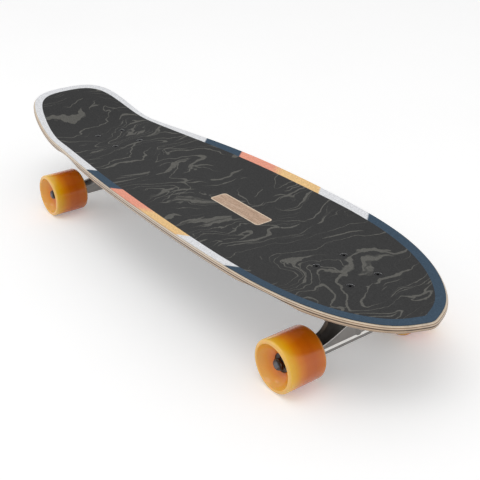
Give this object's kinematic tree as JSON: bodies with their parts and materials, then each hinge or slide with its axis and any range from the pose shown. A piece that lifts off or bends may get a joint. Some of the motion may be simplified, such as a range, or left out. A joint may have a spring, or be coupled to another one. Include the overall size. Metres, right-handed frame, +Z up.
{
  "type": "cruiser skateboard",
  "caption": "Kicktail cruiser skateboard with a grit-covered deck, sprung steering trucks and soft wheels that roll on bearings.",
  "frame": {"origin": "on the ground under the middle of the deck's length and width", "axes": "+X from the tail to the nose, +Y to the left when facing the nose, +Z up"},
  "size_m": [0.8124, 0.234, 0.1361],
  "materials": {
    "maple": "satin lacquer",
    "grip": "printed grit sheet",
    "riser_rubber": "matte",
    "black_steel": "black oxide",
    "zinc_steel": "zinc plated",
    "cast_aluminium": "polished cast",
    "cup_urethane": "satin",
    "bushing_urethane": "satin",
    "wheel_urethane": "translucent gloss"
  },
  "bodies": {
    "board": {"deck": "maple", "grip_sheet": "grip", "front_riser_pad": "riser_rubber", "front_inner_left_bolt": "black_steel", "front_inner_left_lock_nut": "zinc_steel", "front_inner_right_bolt": "black_steel", "front_inner_right_lock_nut": "zinc_steel", "front_outer_left_bolt": "black_steel", "front_outer_left_lock_nut": "zinc_steel", "front_outer_right_bolt": "black_steel", "front_outer_right_lock_nut": "zinc_steel", "front_baseplate": "cast_aluminium", "front_pivot_cup": "cup_urethane", "front_kingpin": "zinc_steel", "front_boardside_washer": "zinc_steel", "front_boardside_bushing": "bushing_urethane", "front_roadside_bushing": "bushing_urethane", "front_roadside_washer": "zinc_steel", "front_kingpin_nut": "zinc_steel", "rear_riser_pad": "riser_rubber", "rear_inner_left_bolt": "black_steel", "rear_inner_left_lock_nut": "zinc_steel", "rear_inner_right_bolt": "black_steel", "rear_inner_right_lock_nut": "zinc_steel", "rear_outer_left_bolt": "black_steel", "rear_outer_left_lock_nut": "zinc_steel", "rear_outer_right_bolt": "black_steel", "rear_outer_right_lock_nut": "zinc_steel", "rear_baseplate": "cast_aluminium", "rear_pivot_cup": "cup_urethane", "rear_kingpin": "zinc_steel", "rear_boardside_washer": "zinc_steel", "rear_boardside_bushing": "bushing_urethane", "rear_roadside_bushing": "bushing_urethane", "rear_roadside_washer": "zinc_steel", "rear_kingpin_nut": "zinc_steel"},
    "front_truck_hanger": {"front_hanger": "cast_aluminium", "front_axle": "zinc_steel", "front_left_spacer": "zinc_steel", "front_left_axle_nut": "zinc_steel", "front_right_spacer": "zinc_steel", "front_right_axle_nut": "zinc_steel"},
    "front_left_rolling_wheel": {"front_left_wheel": "wheel_urethane", "front_left_outer_bearing": "zinc_steel", "front_left_inner_bearing": "zinc_steel"},
    "front_right_rolling_wheel": {"front_right_wheel": "wheel_urethane", "front_right_outer_bearing": "zinc_steel", "front_right_inner_bearing": "zinc_steel"},
    "rear_truck_hanger": {"rear_hanger": "cast_aluminium", "rear_axle": "zinc_steel", "rear_left_spacer": "zinc_steel", "rear_left_axle_nut": "zinc_steel", "rear_right_spacer": "zinc_steel", "rear_right_axle_nut": "zinc_steel"},
    "rear_left_rolling_wheel": {"rear_left_wheel": "wheel_urethane", "rear_left_outer_bearing": "zinc_steel", "rear_left_inner_bearing": "zinc_steel"},
    "rear_right_rolling_wheel": {"rear_right_wheel": "wheel_urethane", "rear_right_outer_bearing": "zinc_steel", "rear_right_inner_bearing": "zinc_steel"}
  },
  "joints": [
    {"name": "front_steer", "type": "hinge", "parent": "board", "child": "front_truck_hanger", "pos_m": [0.27034, 0, 0.041], "axis": [0.8609, 0, 0.5087], "range_deg": [-16, 16], "stiffness_Nm_per_rad": 20, "deforming": ["front_boardside_bushing", "front_roadside_bushing"]},
    {"name": "front_left_spin", "type": "hinge", "parent": "front_truck_hanger", "child": "front_left_rolling_wheel", "pos_m": [0.29434, 0.091, 0.031], "axis": [0, 1, 0], "continuous": true},
    {"name": "front_right_spin", "type": "hinge", "parent": "front_truck_hanger", "child": "front_right_rolling_wheel", "pos_m": [0.29434, -0.091, 0.031], "axis": [0, 1, 0], "continuous": true},
    {"name": "rear_steer", "type": "hinge", "parent": "board", "child": "rear_truck_hanger", "pos_m": [-0.21786, 0, 0.041], "axis": [-0.8609, 0, 0.5087], "range_deg": [-16, 16], "stiffness_Nm_per_rad": 20, "deforming": ["rear_boardside_bushing", "rear_roadside_bushing"]},
    {"name": "rear_left_spin", "type": "hinge", "parent": "rear_truck_hanger", "child": "rear_left_rolling_wheel", "pos_m": [-0.24186, 0.091, 0.031], "axis": [0, 1, 0], "continuous": true},
    {"name": "rear_right_spin", "type": "hinge", "parent": "rear_truck_hanger", "child": "rear_right_rolling_wheel", "pos_m": [-0.24186, -0.091, 0.031], "axis": [0, 1, 0], "continuous": true}
  ]
}
